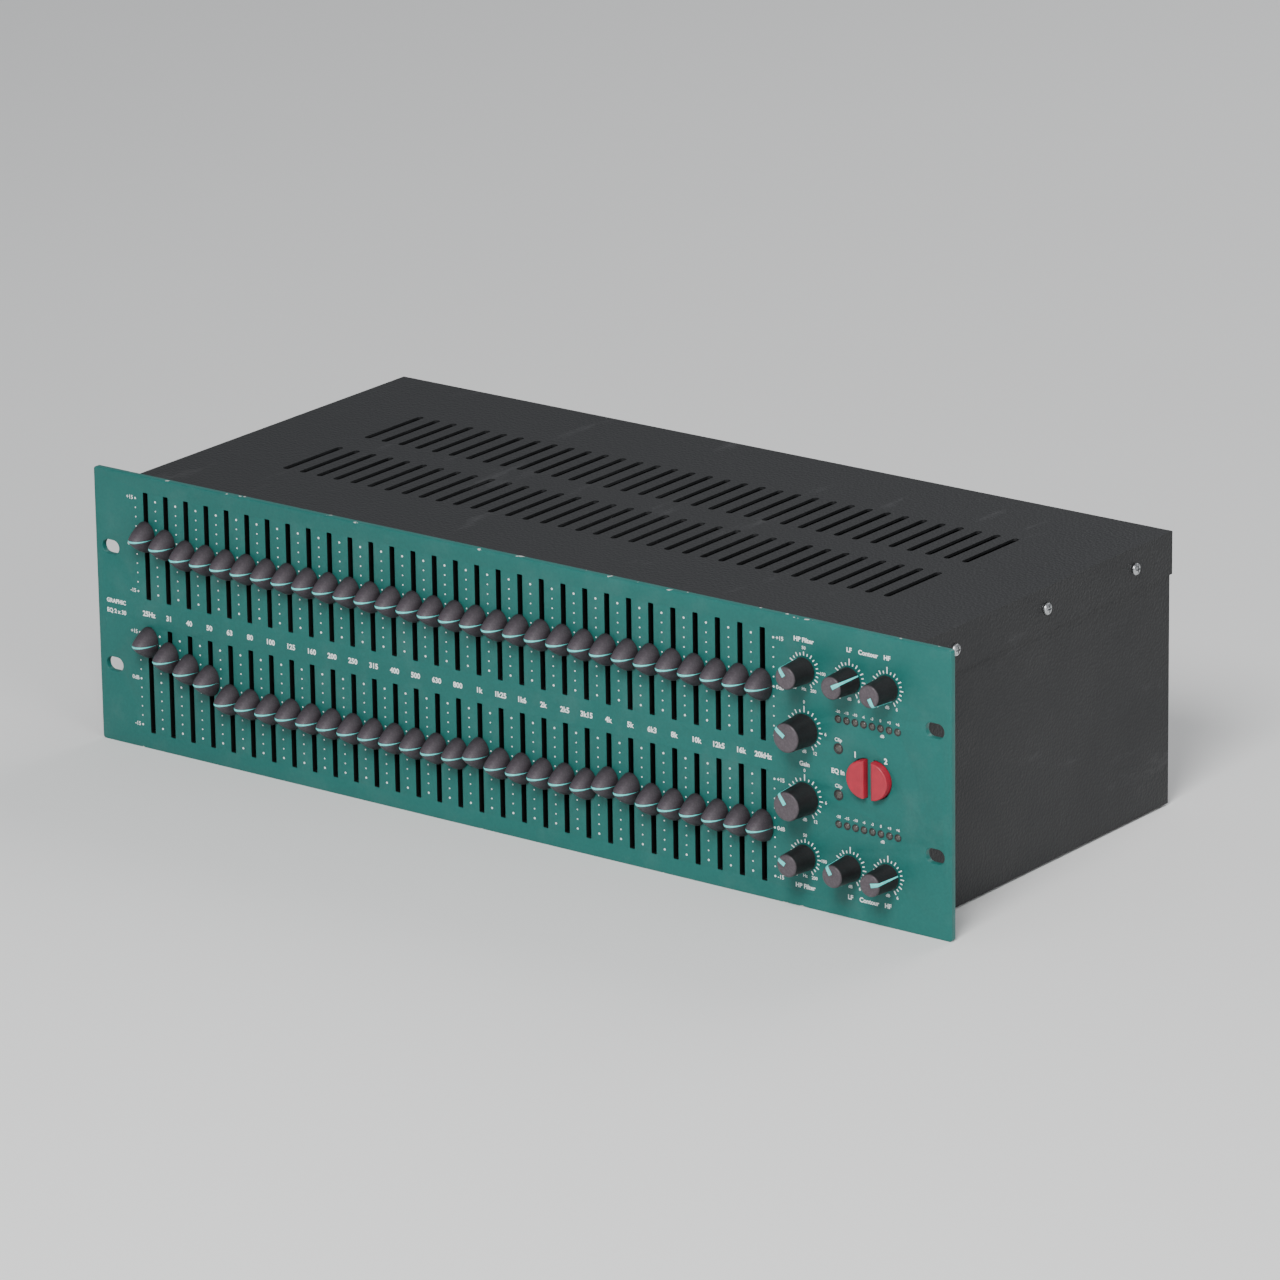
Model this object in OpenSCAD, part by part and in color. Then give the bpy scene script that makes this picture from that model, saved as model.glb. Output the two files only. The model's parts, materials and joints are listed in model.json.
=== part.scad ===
// Two-channel, thirty-band graphic equaliser in a three-unit rack chassis.
// The origin is the middle of the four rack slots, on the rear face of the front panel.
// X runs to the right, Y to the rear and Z up. All sizes are in millimetres.

/* [Front panel] */
// Width of the front panel, set by the 19 inch rack
panel_w = 482.6; // [481:0.1:483]
// Height of the front panel, three rack units less a gap
panel_h = 132.5; // [131.5:0.1:133.3]
// Thickness of the front panel
panel_t = 3; // [2.5:0.5:4]
// Distance between the left and right rack slots
rack_pitch_x = 465.1; // [464.9:0.1:465.3]
// Distance between the lower and upper rack slots
rack_pitch_z = 57.15; // [57.1:0.05:57.2]
// Width of a rack slot, end to end
rack_slot_length = 10; // [9:0.1:11]
// Height of a rack slot
rack_slot_height = 6.8; // [6.4:0.1:7.2]

/* [Faders] */
// Distance between neighbouring faders
band_pitch = 12.13; // [12:0.01:12.2]
// Place of the first fader
first_band_x = -210.5; // [-211:0.1:-210]
// Height of each channel's 0 dB line above or below the middle
row_z = 32.5; // [32:0.1:33]
// Travel of a fader, from -15 dB to +15 dB
travel = 45; // [40:1:46]
// Width of a fader's slot in the panel
fader_slot_w = 2.8; // [2.2:0.1:3.2]
// Height of a fader's slot in the panel
fader_slot_h = 51.7; // [51:0.1:52]
// Width of a fader cap
cap_w = 10.8; // [9:0.1:11]
// Height of a fader cap at its foot
cap_h = 15; // [12:0.5:16]
// How far a fader cap stands out
cap_reach = 10.8; // [8:0.1:12]

/* [Knobs and buttons] */
// How far a knob stands out
knob_reach = 14; // [12:0.5:16]
// Diameter of a filter knob at its foot
filter_knob_d = 12; // [11:0.5:12.5]
// Diameter of a gain knob at its foot
gain_knob_d = 15; // [13:0.5:16]
// Radius of the round pair of bypass buttons
button_r = 8.6; // [8:0.1:9]
// How far a bypass button stands out
button_reach = 3.5; // [3.5:0.5:6]
// Travel of a bypass button
button_travel = 3; // [2:0.5:3]

/* [Chassis] */
// Width of the chassis behind the panel
chassis_w = 438; // [437:1:440]
// Depth of the chassis behind the panel
chassis_d = 200; // [190:5:240]
// Thickness of the sheet steel
sheet_t = 1.5; // [1:0.1:1.8]

/* [Hidden] */
$fn = 48;
gap = 0.2;

// Bands, and the settings that aren't at 0 dB at rest, as [band, decibels]
BANDS = ["25hz", "31hz", "40hz", "50hz", "63hz", "80hz", "100hz", "125hz", "160hz", "200hz",
    "250hz", "315hz", "400hz", "500hz", "630hz", "800hz", "1khz", "1k25hz", "1k6hz", "2khz",
    "2k5hz", "3k15hz", "4khz", "5khz", "6k3hz", "8khz", "10khz", "12k5hz", "16khz", "20khz"];
band_count = len(BANDS);
scale_db = 15;
upper_settings = [[0, 3.2], [1, 2]];
lower_settings = [[0, 12.5], [1, 9], [2, 6.7], [3, 4.7], [16, 1.7], [22, 2], [23, 1.7]];

// Knobs as [name, x, z, diameter, pointer angle at rest, clockwise from the top]
filter_z = 43;
gain_z = 15.7;
left_knob_x = 163.5;
lf_knob_x = 187.7;
hf_knob_x = 207.7;
KNOBS = [
    ["highpass_knob_upper", left_knob_x, filter_z, filter_knob_d, -35],
    ["gain_knob_upper", left_knob_x, gain_z, gain_knob_d, -54],
    ["gain_knob_lower", left_knob_x, -gain_z, gain_knob_d, -35],
    ["highpass_knob_lower", left_knob_x, -filter_z, filter_knob_d, -60],
    ["lf_knob_upper", lf_knob_x, filter_z, filter_knob_d, 60],
    ["lf_knob_lower", lf_knob_x, -filter_z, filter_knob_d, -31],
    ["hf_knob_upper", hf_knob_x, filter_z, filter_knob_d, 150],
    ["hf_knob_lower", hf_knob_x, -filter_z, filter_knob_d, 75]
];

// Depths, measured from the panel's rear face
front_y = -panel_t;
sub_panel_y = 4;
carrier_y = sub_panel_y + sheet_t + gap;
pot_d = 8;
board_y = carrier_y + pot_d + gap;
board_t = 1.6;

// Chassis heights: the tray's floor lies 1 mm above the panel's lower edge
floor_z = -panel_h / 2 + 1;
inner_floor_z = floor_z + sheet_t;
tray_top_z = 62.6;
inner_top_z = tray_top_z - sheet_t - gap;
inner_x = chassis_w / 2 - sheet_t;
vent_length = 42;
vent_w = 3.4;
VENT_X = [-170:10:170];
VENT_Y = [70, 130];
flange_w = 10;
flange_y = 20;
cover_t = 1.2;
cover_lip = 19;

// Faders
cap_gap = 0.4;
cap_skirt = 0.6;
ridge_t = 0.8;
blade_t = 1.2;
blade_h = 4;
seat_depth = 0.5;
seat_fit = 0.05;
carriage = [6.2, 5, 8];
pot_body = [9, pot_d, 57];
pot_cavity = [7, 6, 54];
pot_slot_w = 3;

// Knobs
knob_gap = 0.4;
shaft_r = 3;
shaft_depth = 10;
bushing_r = 3.5;
bushing_y = 1;
nut_r = 5.2;
nut_t = 2;
pot_r = 8;
running_fit = 0.05;
pointer_w = 0.9;
pointer_depth = 0.5;

// Bypass buttons
button_x = 198.7;
button_half_gap = 1.9;
button_shift = 2.2;
button_fit = 0.3;
button_back = 1.5;
plunger_w = 3;
plunger_end = 9.5;
plunger_x = 5.8;
switch_w = 8.4;
switch_bore_w = 3.5;
switch_bore_end = 13;

// Lights
led_x = 181.6;
led_pitch = 4.5;
led_count = 8;
led_z = 24.1;
led_r = 1.45;
clip_x = 181.7;
clip_z = 10.6;
clip_r = 2.1;
led_stand = 0.5;
led_fit = 0.15;

// Rear connectors, seen from the front
connector_z = 4;
INPUT_X = [-186, -150];
OUTPUT_X = [-104, -68];
inlet_x = 176;
fuse_x = 132;
switch_x = 98;
xlr_r = 11.8;
xlr_bore_r = 9.4;
xlr_bore_depth = 14;
xlr_wall = 4;
xlr_lip = 1;
xlr_flange = [26, 31];
xlr_flange_t = 2;
xlr_screw = [9.5, 12];
xlr_core_r = 7.8;
xlr_pin_circle = 4.5;
XLR_PINS = [90, 210, 330];
xlr_pin_r = 1.2;
xlr_pin_hole_r = 1.35;
inlet_flange = [50, 25];
inlet_flange_t = 3;
inlet_body = [28, 20];
inlet_body_depth = 20;
inlet_cavity = [24.4, 16.4];
inlet_cavity_depth = 16;
inlet_bevel = 5;
INLET_PINS = [[-7, 2], [0, -2.5], [7, 2]];
inlet_screw_x = 20;
fuse_body_r = 6;
fuse_body_depth = 30;
fuse_cap_r = 8;
fuse_cap_t = 7;
rocker_frame = [21, 15];
rocker_frame_t = 1.8;
rocker_body = [19.6, 13.6];
rocker_body_depth = 14;
rocker_opening = [16.6, 12.2];
rocker_opening_depth = 8;
rocker_w = 16;
rocker_pivot_y = chassis_d - 2;
rocker_tilt = 8;
pivot_r = 1.25;
pivot_length = rocker_w + 2.5;

// Screws
screw_r = 1.5;
screw_hole_r = 1.65;
screw_head_r = 2.8;
screw_head_t = 1.7;
screw_length = 5;
COVER_SCREW_Y = [30, 100, 170];
cover_screw_z = 54;

// Inside: the pillars stand at the sides of the fader slots, above and below them
PILLAR_X = concat([-215.2, 152], [for (band = [7, 17, 27]) band_x(band) + band_pitch / 2]);
PILLAR_Z = [-61.5, 58.5];
pillar_r = 1.8;
sub_slot_w = 4.5;
sub_slot_h = 54;
button_window = [25, 20];
led_window_h = 5;
MAIN_BOARD = [230, 120];
main_board_x = -90;
main_board_y = 110;
main_board_z = -56;
STANDOFFS = [for (x = [-105, 0, 105], y = [-52, 52]) [main_board_x + x, main_board_y + y]];
transformer_x = 150;
transformer_y = 105;
transformer_r = 45;
transformer_h = 42;
transformer_bend = 8;
transformer_hole_r = 14;
clamp_r = 26;
clamp_t = 1.5;
clamp_bolt_r = 3;
clamp_nut_r = 6;
clamp_nut_t = 4;

// Parts on the boards
FRONT_CHIP = [6.4, 3.4, 9.6];
MAIN_CHIP = [9.6, 6.4, 3.4];
CHIP_X = [-80:20:80];
CHIP_Y = [-30, -10];
capacitor_r = 9;
capacitor_h = 26;
CAPACITOR_X = [40, 64, 88];
capacitor_y = 30;
REGULATOR_X = [-70, -30];
regulator_y = 25;
HEAT_SINK = [24, 3, 25];
heat_fin = [2, 9, 25];
fin_pitch = 5.5;
fin_count = 5;
board_slack = 2;

function fader_name(band) = str("fader_", BANDS[band]);
function band_x(band) = first_band_x + band * band_pitch;
function decibels(settings, band) =
    let (found = [for (s = settings) if (s[0] == band) s[1]]) len(found) > 0 ? found[0] : 0;
function rest_offset(settings, band) = decibels(settings, band) * travel / (2 * scale_db);
function ellipse(rx, ry, from, to, steps) =
    [for (i = [0:steps]) let (a = from + (to - from) * i / steps) [rx * cos(a), ry * sin(a)]];

// ---- shared shapes ----

// Turns a shape drawn in the XZ plane and pushes it back to front: from y towards -Y
module forward(y, length) translate([0, y, 0]) rotate([90, 0, 0]) linear_extrude(length) children();

// A block centred in X and Z that starts at y
module block(x, y, z, size) translate([x - size[0] / 2, y, z - size[2] / 2]) cube(size);

// A rod along Y
module rod(x, y, z, r, length) translate([x, y, z]) rotate([-90, 0, 0]) cylinder(r = r, h = length);

module rounded_plate(w, h, r) {
    square([w - 2 * r, h], center = true);
    square([w, h - 2 * r], center = true);
    for (x = [-1, 1], z = [-1, 1]) translate([x * (w / 2 - r), z * (h / 2 - r)]) circle(r);
}

module long_hole(length, height) {
    square([length - height, height], center = true);
    for (x = [-1, 1]) translate([x * (length - height) / 2, 0]) circle(height / 2);
}

// One half of a split disc, moved out from the middle; side is -1 for the left half, 1 for the right
module half_disc(side, r, half_gap) {
    intersection() {
        translate([side * button_shift, 0]) circle(r);
        translate([side * (half_gap + r), 0]) square(2 * r, center = true);
    }
}

module pan_screw() {
    difference() {
        union() {
            rotate_extrude() polygon(concat([[0, 0]],
                [for (a = [0:15:90]) [screw_head_r * cos(a), 0.5 + (screw_head_t - 0.5) * sin(a)]]));
            cylinder(r = screw_head_r, h = 0.5);
            translate([0, 0, -screw_length]) cylinder(r = screw_r, h = screw_length);
        }
        for (turn = [0, 90]) rotate(turn) translate([-1.6, -0.35, 0.7]) cube([3.2, 0.7, 2]);
    }
}

module slots_for_faders(w, h) {
    for (band = [0:band_count - 1], side = [-1, 1])
        translate([band_x(band), side * row_z]) square([w, h], center = true);
}

// ---- front ----

module front_panel() {
    color("teal") forward(0, panel_t) difference() {
        rounded_plate(panel_w, panel_h, 1.5);
        for (x = [-1, 1], z = [-1, 1])
            translate([x * rack_pitch_x / 2, z * rack_pitch_z / 2])
                long_hole(rack_slot_length, rack_slot_height);
        slots_for_faders(fader_slot_w, fader_slot_h);
        for (k = KNOBS) translate([k[1], k[2]]) circle(shaft_r + 0.5);
        for (side = [-1, 1])
            translate([button_x, 0])
                half_disc(side, button_r + button_fit, button_half_gap - button_fit);
        for (i = [0:led_count - 1], side = [-1, 1])
            translate([led_x + i * led_pitch, side * led_z]) circle(led_r + led_fit);
        for (side = [-1, 1]) translate([clip_x, side * clip_z]) circle(clip_r + led_fit);
    }
}

module sub_panel() {
    height = inner_top_z - inner_floor_z - gap;
    middle = (inner_top_z + inner_floor_z) / 2;
    color("silver") forward(sub_panel_y + sheet_t, sheet_t) difference() {
        translate([0, middle]) square([2 * inner_x - 2 * gap, height], center = true);
        slots_for_faders(sub_slot_w, sub_slot_h);
        for (k = KNOBS) translate([k[1], k[2]]) circle(bushing_r + 0.1);
        translate([button_x, 0]) square(button_window, center = true);
        for (side = [-1, 1]) {
            translate([led_x + (led_count - 1) * led_pitch / 2, side * led_z])
                square([led_count * led_pitch, led_window_h], center = true);
            translate([clip_x, side * clip_z]) circle(clip_r + 0.6);
        }
    }
}

module cap() {
    back = front_y - cap_gap;
    difference() {
        hull() {
            forward(back, cap_skirt)
                polygon(ellipse(cap_w / 2, cap_h / 2, 0, 345, 23));
            translate([0, back, -ridge_t / 2]) linear_extrude(ridge_t)
                polygon(ellipse(cap_w / 2, -cap_reach, 0, 180, 16));
        }
        block(0, back - seat_depth, 0, [blade_t + 2 * seat_fit, seat_depth + 1, blade_h + 2 * seat_fit]);
    }
}

module lever() {
    blade_start = front_y - cap_gap - seat_depth + seat_fit;
    blade_end = carrier_y + pot_d - 2;
    block(0, blade_start, 0, [blade_t, blade_end - blade_start, blade_h]);
    block(0, carrier_y + 1.5, 0, carriage);
}

// One band's two faders, the upper channel's and the lower channel's
module fader(band) {
    for (row = [[row_z, upper_settings], [-row_z, lower_settings]])
        translate([band_x(band), 0, row[0] + rest_offset(row[1], band)]) {
            color("dimgray") cap();
            color("gray") lever();
        }
}

// A knob of one diameter on its shaft, with its pointer at the top
module knob(d) {
    foot = front_y - knob_gap;
    face_r = d / 2 - 0.8;
    color("dimgray") difference() {
        translate([0, foot, 0]) rotate([90, 0, 0]) rotate_extrude() difference() {
            polygon([[0, 0], [d / 2, 0], [d / 2, 1.2], [face_r, knob_reach - 0.8],
                [face_r - 0.8, knob_reach], [0, knob_reach]]);
            square([shaft_r + 0.02, shaft_depth + 0.02]);
        }
        block(0, foot - knob_reach - 1, d / 4 + 1, [pointer_w, 1 + pointer_depth, d / 2]);
    }
    color("gray") rod(0, foot - shaft_depth, 0, shaft_r, shaft_depth + pot_end_y() - foot);
}

function pot_end_y() = carrier_y + pot_d - 2;

module placed_knob(k) translate([k[1], 0, k[2]]) rotate([0, k[4], 0]) knob(k[3]);

module eq_in_button(side) {
    color("crimson") translate([button_x, 0, 0]) {
        forward(button_back, button_back - front_y + button_reach)
            half_disc(side, button_r, button_half_gap);
        block(side * plunger_x, button_back, 0,
            [plunger_w, plunger_end - button_back, plunger_w]);
    }
}

// ---- behind the panel ----

module slide_pot_bodies() {
    color("lightgray") for (band = [0:band_count - 1], side = [-1, 1])
        translate([band_x(band), 0, side * row_z]) difference() {
            block(0, carrier_y, 0, pot_body);
            block(0, carrier_y + 1, 0, pot_cavity);
            block(0, carrier_y - 1, 0, [pot_slot_w, 3, pot_cavity[2] - 1]);
        }
}

module rotary_pot_bodies() {
    color("slategray") for (k = KNOBS) translate([k[1], 0, k[2]]) difference() {
        union() {
            rod(0, carrier_y, 0, pot_r, pot_d);
            rod(0, bushing_y, 0, bushing_r, carrier_y - bushing_y);
            translate([0, sub_panel_y - gap, 0]) rotate([90, 0, 0])
                cylinder(r = nut_r, h = nut_t, $fn = 6);
        }
        rod(0, bushing_y - 1, 0, shaft_r + running_fit, pot_end_y() + 1.2 - bushing_y);
    }
}

module button_switch_bodies() {
    color("white") for (side = [-1, 1]) difference() {
        block(button_x + side * plunger_x, carrier_y, 0, [switch_w, pot_d, switch_w]);
        block(button_x + side * plunger_x, carrier_y - 1, 0,
            [switch_bore_w, switch_bore_end - carrier_y + 1, switch_bore_w]);
    }
}

module led(r) {
    neck = 2;
    translate([0, neck, 0]) rotate([90, 0, 0]) rotate_extrude() polygon(concat(
        [[0, 0], [r + 0.3, 0], [r + 0.3, 0.8], [r, 0.8]],
        [for (a = [0:15:90]) [r * cos(a), neck - front_y + led_stand - r * (1 - sin(a)) * 0.6]]));
    for (x = [-0.8, 0.8]) block(x, neck, 0, [0.5, board_y - neck - gap, 0.5]);
}

module signal_leds() {
    color("darkslategray") for (side = [-1, 1]) {
        for (i = [0:led_count - 1]) translate([led_x + i * led_pitch, 0, side * led_z]) led(led_r);
        translate([clip_x, 0, side * clip_z]) led(clip_r);
    }
}

module front_board() {
    width = 2 * (inner_x - board_slack);
    height = 2 * (inner_top_z - 0.5);
    color("darkgreen") block(0, board_y, 0, [width, board_t, height]);
    color("black") for (band = [0:2:band_count - 2], side = [-1, 1])
        block(band_x(band) + band_pitch / 2, board_y + board_t, side * row_z, FRONT_CHIP);
}

module main_board() {
    top = main_board_z + board_t;
    translate([main_board_x, main_board_y, 0]) {
        color("darkgreen") difference() {
            translate([-MAIN_BOARD[0] / 2, -MAIN_BOARD[1] / 2, main_board_z])
                cube([MAIN_BOARD[0], MAIN_BOARD[1], board_t]);
            for (s = STANDOFFS)
                translate([s[0] - main_board_x, s[1] - main_board_y, main_board_z - 1])
                    cylinder(r = screw_hole_r, h = board_t + 2);
        }
        color("black") for (x = CHIP_X, y = CHIP_Y) translate([x, y, top]) cube(MAIN_CHIP);
        color("midnightblue") for (x = CAPACITOR_X)
            translate([x, capacitor_y, top]) cylinder(r = capacitor_r, h = capacitor_h);
        color("silver") for (x = REGULATOR_X) translate([x, regulator_y, top]) {
            cube(HEAT_SINK);
            for (fin = [0:fin_count - 1])
                translate([fin * fin_pitch, HEAT_SINK[1], 0]) cube(heat_fin);
        }
    }
}

module transformer() {
    bend = transformer_bend;
    rim = transformer_r - bend;
    translate([transformer_x, transformer_y, inner_floor_z + gap]) {
        color("goldenrod") rotate_extrude() polygon(concat(
            [for (a = [-90:15:0]) [rim + bend * cos(a), bend + bend * sin(a)]],
            [for (a = [0:15:90]) [rim + bend * cos(a), transformer_h - bend + bend * sin(a)]],
            [[transformer_hole_r, transformer_h], [transformer_hole_r, 0]]));
        color("silver") translate([0, 0, transformer_h + gap]) {
            cylinder(r = clamp_r, h = clamp_t);
            translate([0, 0, clamp_t]) cylinder(r = clamp_nut_r, h = clamp_nut_t, $fn = 6);
        }
        color("silver") cylinder(r = clamp_bolt_r, h = transformer_h + gap + 1);
    }
}

module spacers() {
    color("silver") {
        for (x = PILLAR_X, z = PILLAR_Z) rod(x, gap / 2, z, pillar_r, sub_panel_y - gap);
        for (s = STANDOFFS) translate([s[0], s[1], inner_floor_z + gap / 2])
            cylinder(r = 3.2, h = main_board_z - inner_floor_z - gap, $fn = 6);
    }
}

// ---- chassis ----

module chassis_tray() {
    color("dimgray") {
        translate([-chassis_w / 2, gap, floor_z]) cube([chassis_w, chassis_d - gap, sheet_t]);
        for (side = [-1, 1]) difference() {
            union() {
                block(side * (chassis_w - sheet_t) / 2, gap, (floor_z + tray_top_z) / 2,
                    [sheet_t, chassis_d - gap, tray_top_z - floor_z]);
                block(side * (chassis_w - flange_w) / 2, flange_y, tray_top_z - sheet_t / 2,
                    [flange_w, chassis_d - 2 * flange_y, sheet_t]);
            }
            for (y = COVER_SCREW_Y) translate([side * chassis_w / 2, y, cover_screw_z])
                rotate([0, 90, 0]) cylinder(r = screw_hole_r, h = 10, center = true);
        }
    }
}

module top_cover() {
    width = chassis_w + 2 * gap + 2 * cover_t;
    underside = tray_top_z + gap;
    color("dimgray") difference() {
        translate([-width / 2, gap, underside - cover_lip])
            cube([width, chassis_d - gap, cover_lip + cover_t]);
        translate([-chassis_w / 2 - gap, -1, underside - cover_lip - 1])
            cube([chassis_w + 2 * gap, chassis_d + 2, cover_lip + 1]);
        for (y = COVER_SCREW_Y) translate([0, y, cover_screw_z])
            rotate([0, 90, 0]) cylinder(r = screw_hole_r, h = width + 10, center = true);
        for (x = VENT_X, y = VENT_Y) translate([x, y, underside - 1])
            linear_extrude(cover_t + 2) rotate(90) long_hole(vent_length, vent_w);
    }
}

module rear_panel() {
    height = inner_top_z - inner_floor_z - gap;
    middle = (inner_top_z + inner_floor_z) / 2;
    color("dimgray") forward(chassis_d, sheet_t) difference() {
        translate([0, middle]) square([2 * inner_x - 2 * gap, height], center = true);
        for (x = concat(INPUT_X, OUTPUT_X)) translate([x, connector_z]) {
            circle(xlr_r + 0.2);
            for (side = [-1, 1])
                translate([side * xlr_screw[0], side * xlr_screw[1]]) circle(screw_hole_r);
        }
        translate([inlet_x, connector_z]) {
            square([inlet_body[0] + 0.6, inlet_body[1] + 0.6], center = true);
            for (side = [-1, 1]) translate([side * inlet_screw_x, 0]) circle(screw_hole_r);
        }
        translate([fuse_x, connector_z]) circle(fuse_body_r + 0.3);
        translate([switch_x, connector_z])
            square([rocker_body[0] + 0.4, rocker_body[1] + 0.4], center = true);
    }
}

// ---- rear connectors ----

// A flange outside the rear panel on a tube through it, closed at its inner end
module xlr_shell(x) {
    bore_end = chassis_d - xlr_bore_depth;
    translate([x, 0, connector_z]) difference() {
        union() {
            forward(chassis_d + gap + xlr_flange_t, xlr_flange_t) difference() {
                rounded_plate(xlr_flange[0], xlr_flange[1], 2);
                for (side = [-1, 1])
                    translate([side * xlr_screw[0], side * xlr_screw[1]]) circle(screw_hole_r);
            }
            rod(0, bore_end - xlr_wall, 0, xlr_r, xlr_wall + xlr_bore_depth + gap + xlr_flange_t + xlr_lip);
        }
        rod(0, bore_end, 0, xlr_bore_r, xlr_bore_depth + 10);
    }
}

// Sockets: a core with three pin holes stands in each shell
module xlr_inputs() {
    core_start = chassis_d - xlr_bore_depth + gap / 2;
    color("black") for (x = INPUT_X) {
        xlr_shell(x);
        translate([x, 0, connector_z]) difference() {
            rod(0, core_start, 0, xlr_core_r, xlr_bore_depth + xlr_flange_t);
            for (turn = XLR_PINS) rotate([0, turn, 0])
                rod(xlr_pin_circle, core_start + 2, 0, xlr_pin_hole_r, xlr_bore_depth + 5, $fn = 8);
        }
    }
}

module xlr_outputs() {
    color("black") for (x = OUTPUT_X) xlr_shell(x);
    color("gold") for (x = OUTPUT_X, turn = XLR_PINS)
        translate([x, 0, connector_z]) rotate([0, turn, 0])
            rod(xlr_pin_circle, chassis_d - xlr_bore_depth - 1, 0, xlr_pin_r, xlr_bore_depth - 1);
}

module mains_inlet() {
    half = inlet_cavity / 2;
    translate([inlet_x, 0, connector_z]) {
        color("black") difference() {
            union() {
                forward(chassis_d + gap + inlet_flange_t, inlet_flange_t) difference() {
                    rounded_plate(inlet_flange[0], inlet_flange[1], 4);
                    for (side = [-1, 1]) translate([side * inlet_screw_x, 0]) circle(screw_hole_r);
                }
                block(0, chassis_d - inlet_body_depth, 0,
                    [inlet_body[0], inlet_body_depth + gap + 1, inlet_body[1]]);
            }
            forward(chassis_d + 10, 10 + inlet_cavity_depth) polygon([
                [-half[0], half[1]], [half[0], half[1]],
                [half[0], inlet_bevel - half[1]], [half[0] - inlet_bevel, -half[1]],
                [inlet_bevel - half[0], -half[1]], [-half[0], inlet_bevel - half[1]]]);
        }
        color("silver") for (pin = INLET_PINS)
            block(pin[0], chassis_d - inlet_cavity_depth - 1, pin[1], [2, inlet_cavity_depth - 2, 4]);
    }
}

module fuse_holder() {
    translate([fuse_x, 0, connector_z]) color("black") {
        rod(0, chassis_d - fuse_body_depth, 0, fuse_body_r, fuse_body_depth + gap);
        difference() {
            rod(0, chassis_d + gap, 0, fuse_cap_r, fuse_cap_t);
            block(0, chassis_d + 5, 0, [1.5, 5, 10]);
        }
    }
}

module power_switch_frame() {
    translate([switch_x, 0, connector_z]) color("black") difference() {
        union() {
            forward(chassis_d + gap + rocker_frame_t, rocker_frame_t)
                rounded_plate(rocker_frame[0], rocker_frame[1], 1);
            block(0, chassis_d - rocker_body_depth, 0,
                [rocker_body[0], rocker_body_depth + gap + 0.5, rocker_body[1]]);
        }
        block(0, chassis_d - rocker_opening_depth, 0, [rocker_opening[0], 20, rocker_opening[1]]);
        translate([0, rocker_pivot_y, 0]) rotate([0, 90, 0])
            cylinder(r = pivot_r + running_fit, h = pivot_length + 0.4, center = true);
    }
}

// Drawn at "off": tilted about its pivot, with its upper end out
module power_rocker() {
    translate([switch_x, rocker_pivot_y, connector_z]) rotate([-rocker_tilt, 0, 0]) color("black") {
        rotate([90, 0, 90]) translate([0, 0, -rocker_w / 2]) linear_extrude(rocker_w)
            polygon([[-2.6, -2.5], [0, -5], [4.6, -5], [3.2, 0], [4.6, 5], [0, 5], [-2.6, 2.5]]);
        rotate([0, 90, 0]) cylinder(r = pivot_r, h = pivot_length, center = true);
    }
}

module screws() {
    lift = gap / 2;
    color("silver") {
        for (side = [-1, 1], y = COVER_SCREW_Y)
            translate([side * (chassis_w / 2 + gap + cover_t + lift), y, cover_screw_z])
                rotate([0, side * 90, 0]) pan_screw();
        for (x = concat(INPUT_X, OUTPUT_X), side = [-1, 1])
            translate([x, chassis_d + gap + xlr_flange_t + lift, connector_z])
                translate([side * xlr_screw[0], 0, side * xlr_screw[1]])
                    rotate([-90, 0, 0]) pan_screw();
        for (side = [-1, 1])
            translate([inlet_x + side * inlet_screw_x, 0, connector_z])
                translate([0, chassis_d + gap + inlet_flange_t + lift, 0])
                    rotate([-90, 0, 0]) pan_screw();
    }
}

for (k = KNOBS) placed_knob(k);
eq_in_button(-1);  // eq_in_button_1
eq_in_button(1);  // eq_in_button_2
power_rocker();
for (band = [0:band_count - 1]) fader(band);
front_panel();
sub_panel();
chassis_tray();
top_cover();
rear_panel();
slide_pot_bodies();
rotary_pot_bodies();
button_switch_bodies();
signal_leds();
front_board();
main_board();
transformer();
mains_inlet();
fuse_holder();
power_switch_frame();
xlr_inputs();
xlr_outputs();
spacers();
screws();
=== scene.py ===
"""Looks of the graphic equaliser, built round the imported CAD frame. Metres; X right, Y rear, Z up."""

import json
import math

import bmesh
import bpy
from mathutils import Matrix, Quaternion, Vector
from mathutils.geometry import tessellate_polygon

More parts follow.
